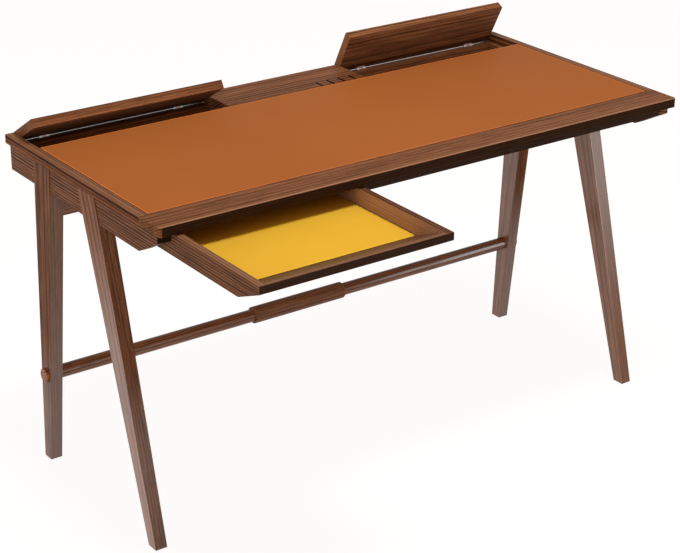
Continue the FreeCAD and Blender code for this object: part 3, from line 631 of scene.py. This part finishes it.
# Hinges: a bright steel rod under each lid, turning in steel knuckles on the case and a bronze
# knuckle on the lid, with their leaves let into kerfs.
def metal(name, bright, dull, roughness):
    """Drawn metal, finely scratched along its length."""
    finish, shader, place = new_finish(name, roughness, 0.5)
    shader.inputs["Metallic"].default_value = 0.9
    x, y, z = place.axes()
    scratch = place.cloud(x * 40.0, y * 2500.0, z * 2500.0, detail=2.0)
    place.feed(shader.inputs["Base Color"], scratch.mix(bright, dull))
    place.feed(shader.inputs["Roughness"], roughness + 0.25 * (scratch - 0.5))
    return finish


steel = metal("hinge_steel", colour(244, 245, 246), colour(214, 216, 218), 0.22)
bronze = metal("hinge_bronze", colour(236, 190, 172), colour(200, 146, 130), 0.28)
for word in ("left", "right"):
    dress(f"{word}_hinge_rod", steel, easing=0)
    dress(f"{word}_fixed_hinge_leaves", steel, easing=0)
    dress(f"{word}_lid_hinge_leaves", bronze, easing=0)

# Drawers: shallow walnut trays whose sides run through to the front. The front slopes down inside
# to the lined floor, and the tray is cut away underneath it.
# each board: the way of its grain, the way across its face, the tree's heart, ring strength, redness,
# lightness, painted highlight along its top and painted shade along its top
DRAWER_BOARDS = (
    ("left_side", BACKWARD, UPWARD, (0.10, 0.05), 1.1, 0.3, 0.8, 0.2, 0.0),
    ("right_side", BACKWARD, UPWARD, (0.12, 0.07), 1.3, 0.9, 1.15, 0.0, 0.25),
    ("front", SIDEWAYS, BACKWARD, (0.12, 0.2), 0.8, 0.3, 0.62, 0.2, 0.0),
    ("back", SIDEWAYS, UPWARD, (0.2, 0.05), 0.45, 0.4, 1.0, 0.2, 0.0),
    ("floor", SIDEWAYS, BACKWARD, (0.3, 0.1), 0.35, 0.4, 1.0, 0.0, 0.0),
)
TOP_DEPTH = 0.001
FRONT_SHADE = 0.84
INNER_LIGHT = 0.5


def inner_face(name):
    """Painted light on the inside of a drawer's right-hand wall."""
    inside = flat_face(name, LEFTWARD)
    return lambda place: INNER_LIGHT * inside(place)


for number, word in enumerate(("left", "right")):
    for part, along, across, heart, bold, red, light, pale, dark in DRAWER_BOARDS:
        name = f"{word}_drawer_{part}"
        front = front_edge(f"{word}_drawer_left_side", FRONT_SHADE)
        top = top_edge(name, TOP_DEPTH, dark)
        # the drawer's front face is painted with shade, each board's top edge carries the painted
        # highlight and painted shade in its row, and the right wall's inside is painted lighter as light
        finish = walnut(
            "walnut_" + name, middle_of(name), along, across, heart=heart, pitch=0.005, bold=bold,
            seed=141.3 + 7.7 * number + 1.9 * len(part), flow=0.007, red=red, light=light,
            painted_shade=lambda place: place.sum("MAXIMUM", front(place), top(place)),
            painted_light=inner_face(name) if part == "right_side" else top_edge(name, TOP_DEPTH, pale),
        )
        dress(name, finish, easing=0.0009)

# Drawer linings: mustard hide glued on the drawer floors inside the four walls.
# Their edges are rounded, with a brighter band along them and painted shade in the joint at the outer
# edge.
for word in ("left", "right"):
    node = f"{word}_drawer_lining"
    lining = hide(
        f"{word}_lining_hide", node, edge=0.0009, grain=1300.0, pale_edge=colour(255, 214, 66),
        plain=colour(235, 193, 61), deep=colour(231, 187, 57), roughness=0.6, shine=0.04,
    )
    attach(lining, f"{word}_drawer")
    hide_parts(node)

# Floor: a plain pale studio floor under the glides, which keeps the desk's soft shadow.
# It looks nearly white, and throws only a plain grey light back at the desk.
bpy.ops.object.select_all(action="DESELECT")
bpy.ops.mesh.primitive_plane_add(size=40, location=(0, 0, 0))
floor = bpy.context.object
floor.name = "studio_floor"
FLOOR_SHOWN = 0.14
FLOOR_BOUNCE = 0.62
FLOOR_GLOW = 0.93
floor_finish, shader, place = new_finish("floor_paper", 1.0, 0.0)


def seen_as_background(tone):
    """1 for the rays that show the background: from the camera, or by way of metal or glass."""
    camera = tone.add("LightPath", output=0)
    glossy = tone.add("LightPath", output=3)
    clear = tone.add("LightPath", output=6)
    return tone.sum("MINIMUM", camera + glossy + clear, 1.0)


def grey(level):
    return (level, level, level, 1)


shown = seen_as_background(place)
place.feed(shader.inputs["Base Color"], shown.mix(grey(FLOOR_BOUNCE), grey(FLOOR_SHOWN)))
place.feed(shader.inputs["Emission Color"], shown.mix(grey(0), grey(FLOOR_GLOW)))
shader.inputs["Emission Strength"].default_value = 1.0
floor.data.materials.append(floor_finish)

# Light: one soft box overhead, one at the left and one low in front, in a dim warm room whose walls
# look white and whose ceiling looks grey.
ROOM = (0.44, 0.26, 0.17, 1)
CEILING = 0.4
WALL = 0.96
CEILING_RISE = (0.25, 0.5)
world = bpy.data.worlds.new("studio")
bpy.context.scene.world = world
world.use_nodes = True
room = Tone(world.node_tree)
background = world.node_tree.nodes["Background"]
height = room.add("TexCoord", output=0).along(UPWARD)
shown = height.step(*CEILING_RISE).mix(grey(WALL), grey(CEILING))
room.feed(background.inputs["Color"], seen_as_background(room).mix(ROOM, shown))


def soft_box(name, place, aim, width, height, power):
    """A rectangular lamp at a place, turned to a point, in metres and watts."""
    lamp = bpy.data.lights.new(name, "AREA")
    lamp.shape = "RECTANGLE"
    lamp.size = width
    lamp.size_y = height
    lamp.energy = power
    holder = bpy.data.objects.new(name, lamp)
    bpy.context.scene.collection.objects.link(holder)
    holder.location = place
    holder.rotation_euler = (Vector(aim) - Vector(place)).to_track_quat("-Z", "Y").to_euler()


soft_box("overhead_box", (-0.1, -0.65, 3.6), (0, 0.05, 0.7), 1.2, 0.7, 56)
soft_box("left_box", (-8.5, -1.2, 1.3), (0, 0.1, 0.5), 5.0, 3.2, 265)
soft_box("front_box", (1.2, -7.5, 0.5), (0.2, 0, 0.4), 4.0, 1.6, 180)

# Camera: at the photograph's viewing angle, with its place and turn solved from the edges of the top
# and the feet.
CAMERA_PLACE = Vector((-2.2556, -3.0012, 2.0730))
SENSOR_WIDTH = 36
LENS_LENGTH = 98.025
YAW, PITCH, ROLL = (math.radians(angle) for angle in (35.3880, 23.8703, 0.1185))
ahead = Vector((math.sin(YAW) * math.cos(PITCH), math.cos(YAW) * math.cos(PITCH), -math.sin(PITCH)))
level = Vector((math.cos(YAW), -math.sin(YAW), 0))
upright = level.cross(ahead)
right = math.cos(ROLL) * level + math.sin(ROLL) * upright
up = math.cos(ROLL) * upright - math.sin(ROLL) * level
lens = bpy.data.cameras.new("camera")
lens.sensor_fit = "HORIZONTAL"
lens.sensor_width = SENSOR_WIDTH
lens.lens = LENS_LENGTH
lens.clip_end = 100
camera = bpy.data.objects.new("camera", lens)
bpy.context.scene.collection.objects.link(camera)
turned = Matrix((right, up, -ahead)).transposed().to_4x4()
camera.matrix_world = Matrix.Translation(CAMERA_PLACE) @ turned
bpy.context.scene.camera = camera
bpy.context.scene.view_settings.view_transform = "Standard"
